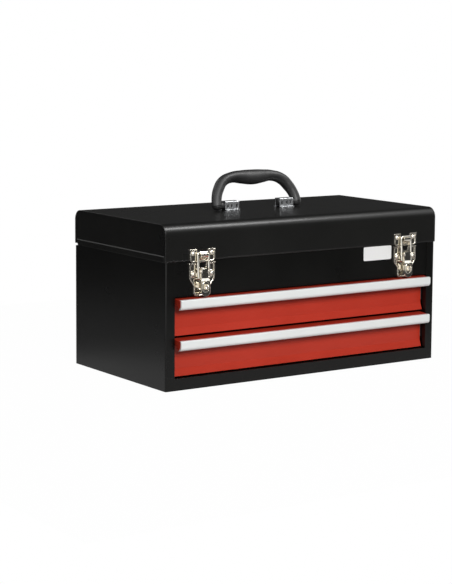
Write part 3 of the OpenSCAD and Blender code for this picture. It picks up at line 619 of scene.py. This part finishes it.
def studio_cards_group():
    """Where gloss mirrors a pale card, and how much of the room it mirrors elsewhere."""
    group = bpy.data.node_groups.new("studio_cards", "ShaderNodeTree")
    sockets(group, "INPUT", "Vector", "Direction")
    sockets(group, "INPUT", "Float", "Room")
    sockets(group, "OUTPUT", "Float", "Mask")
    new = group.nodes.new
    link = group.links.new
    given = new("NodeGroupInput")
    result = new("NodeGroupOutput")
    split = new("ShaderNodeSeparateXYZ")
    link(given.outputs["Direction"], split.inputs["Vector"])

    def fade(axis, dark, pale):
        step = new("ShaderNodeMapRange")
        step.interpolation_type = "SMOOTHSTEP"
        step.inputs["From Min"].default_value = dark
        step.inputs["From Max"].default_value = pale
        link(split.outputs[axis], step.inputs["Value"])
        return step.outputs["Result"]

    def both(operation, a, b):
        node = new("ShaderNodeMath")
        node.operation = operation
        link(a, node.inputs[0])
        link(b, node.inputs[1])
        return node.outputs["Value"]

    mask = given.outputs["Room"]
    for first, *others in studio_cards:
        card = fade(*first)
        for bound in others:
            card = both("MULTIPLY", card, fade(*bound))
        mask = both("MAXIMUM", mask, card)
    link(mask, result.inputs["Mask"])
    return group


# strength of the dim room and of the white, as light and as gloss mirrors them
room_strength = (0.10, 0.02)
white_strength = (1.0, 1.6)
room_share = 0.02  # of the white, in what gloss mirrors between the cards


def surround():
    """A dim room, white where the camera looks past the box and where gloss meets a card."""
    world = bpy.data.worlds.new("surround")
    world.use_nodes = True
    tree = world.node_tree
    new = tree.nodes.new
    link = tree.links.new
    room = tree.nodes["Background"]
    white = new("ShaderNodeBackground")
    ray = new("ShaderNodeLightPath")
    for shade, (plain, mirrored) in ((room, room_strength), (white, white_strength)):
        shade.inputs["Color"].default_value = (1, 1, 1, 1)
        level = new("ShaderNodeMapRange")
        level.inputs["To Min"].default_value = plain
        level.inputs["To Max"].default_value = mirrored
        link(ray.outputs["Is Glossy Ray"], level.inputs["Value"])
        link(level.outputs["Result"], shade.inputs["Strength"])
    direction = new("ShaderNodeTexCoord")
    cards = effect(tree, studio_cards_group(), {"Room": room_share})
    mix = new("ShaderNodeMixShader")
    link(direction.outputs["Generated"], cards.inputs["Direction"])
    link(white_mask(tree, cards.outputs["Mask"]), mix.inputs["Fac"])
    link(room.outputs["Background"], mix.inputs[1])
    link(white.outputs["Background"], mix.inputs[2])
    link(mix.outputs["Shader"], tree.nodes["World Output"].inputs["Surface"])
    return world


bpy.context.scene.world = surround()

floor_width = 1.3
floor_height = -0.0002
floor_grey = (0.70, 0.70, 0.70, 1)
floor_white_share = 0.99  # the rest shows the shadow
# gloss mirrors about half of the floor's white near this place, and none far out
near_place = (0.0, -0.14, 0.0)
near_share, near_full, near_end = 0.55, 0.32, 0.52


def floor_white():
    """A matte pale floor that the camera sees as white, with a faint shadow."""
    mat = bpy.data.materials.new("floor_white")
    mat.use_nodes = True
    tree = mat.node_tree
    new = tree.nodes.new
    link = tree.links.new
    matte = tree.nodes["Principled BSDF"]
    matte.inputs["Base Color"].default_value = floor_grey
    matte.inputs["Roughness"].default_value = 0.9
    matte.inputs["Specular IOR Level"].default_value = 0.1
    glow = new("ShaderNodeEmission")
    glow.inputs["Strength"].default_value = 1.0
    coord = new("ShaderNodeTexCoord")
    reach = new("ShaderNodeVectorMath")
    reach.operation = "DISTANCE"
    reach.inputs[1].default_value = near_place
    near = new("ShaderNodeMapRange")
    near.interpolation_type = "SMOOTHSTEP"
    near.inputs["From Min"].default_value = near_full
    near.inputs["From Max"].default_value = near_end
    near.inputs["To Min"].default_value = near_share
    near.inputs["To Max"].default_value = 0.0
    share = new("ShaderNodeMath")
    share.operation = "MULTIPLY"
    share.inputs[1].default_value = floor_white_share
    mix = new("ShaderNodeMixShader")
    link(coord.outputs["Object"], reach.inputs[0])
    link(reach.outputs["Value"], near.inputs["Value"])
    link(white_mask(tree, near.outputs["Result"]), share.inputs[0])
    link(share.outputs["Value"], mix.inputs["Fac"])
    link(matte.outputs["BSDF"], mix.inputs[1])
    link(glow.outputs["Emission"], mix.inputs[2])
    link(mix.outputs["Shader"], tree.nodes["Material Output"].inputs["Surface"])
    return mat


bpy.ops.mesh.primitive_plane_add(size=floor_width, location=(0, 0, floor_height))
floor = bpy.context.object
floor.name = "floor"
floor.data.materials.append(floor_white())


def soft_light(name, place, target, size, watts):
    """A rectangular lamp that faces its target."""
    bpy.ops.object.light_add(type="AREA", location=place)
    lamp = bpy.context.object
    lamp.name = name
    lamp.data.shape = "RECTANGLE"
    lamp.data.size, lamp.data.size_y = size
    lamp.data.energy = watts
    way = Vector(target) - Vector(place)
    lamp.rotation_euler = way.to_track_quat("-Z", "Y").to_euler()
    return lamp


glint = soft_light(
    "edge_glint", place=(0.70, -0.66, 1.51), target=(0, -0.1, 0.15), size=(0.45, 0.45), watts=13
)
glint.visible_diffuse = False
soft_light("front_fill", place=(-0.6, -2.5, 1.3), target=(0, 0, 0.12), size=(1.2, 0.9), watts=61)

camera_place = (-1.40729, -1.99067, 0.46389)
right = Vector((0.827294, -0.561731, 0.006493))
up = Vector((0.057231, 0.095774, 0.993757))
back = Vector((-0.558846, -0.821757, 0.111381))
render_height = 584.0  # pixels, as are the next two
focal_length = 1718.77
axis_below_middle = -63.5
sensor_height = 36.0  # millimetres

bpy.ops.object.camera_add()
camera = bpy.context.object
turn = Matrix((right, up, back)).transposed().to_4x4()
camera.matrix_world = Matrix.Translation(camera_place) @ turn
camera.data.sensor_fit = "VERTICAL"
camera.data.sensor_height = sensor_height
camera.data.lens = sensor_height * focal_length / render_height
camera.data.shift_y = axis_below_middle / render_height
camera.data.clip_end = 30.0
bpy.context.scene.camera = camera
bpy.context.scene.view_settings.view_transform = "Standard"
